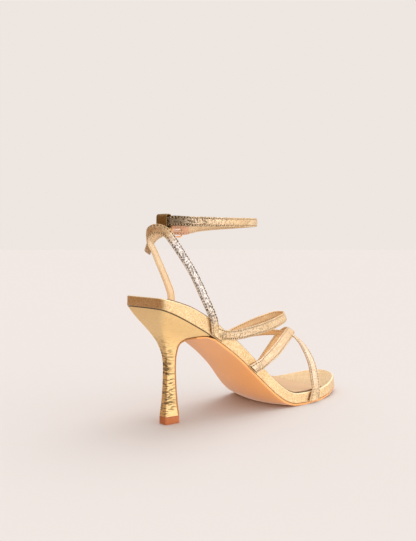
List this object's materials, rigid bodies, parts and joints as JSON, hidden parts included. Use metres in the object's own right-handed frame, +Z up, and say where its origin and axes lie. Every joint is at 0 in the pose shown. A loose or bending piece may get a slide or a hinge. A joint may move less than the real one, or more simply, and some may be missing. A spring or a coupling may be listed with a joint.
{
  "type": "strappy heeled sandal",
  "caption": "High-heeled strappy sandal: slim squared heel, wrapped platform, crossing forefoot straps, sling back and buckled ankle strap.",
  "frame": {"origin": "centre of the flat bottom of the heel's top piece, on the floor", "axes": "+X from heel to toe, +Y to the outer side of the left foot, +Z up"},
  "size_m": [0.2223, 0.0787, 0.165],
  "materials": {
    "gold_leather": "crinkled metallic gold foil on leather, satin",
    "insole_lining": "smooth pale gold lining leather, soft sheen",
    "outsole_tan": "smooth tan resin outsole, satin",
    "top_piece": "terracotta rubber, matt",
    "buckle_metal": "polished rose gold plate"
  },
  "bodies": {
    "root": {"platform": "gold_leather", "insole_sock": "insole_lining", "outsole": "outsole_tan", "heel": "gold_leather", "top_piece": "top_piece", "upper": "gold_leather", "rear_loop": "gold_leather", "ankle_strap": "gold_leather", "buckle_frame": "buckle_metal", "buckle_prong": "buckle_metal"}
  },
  "joints": []
}
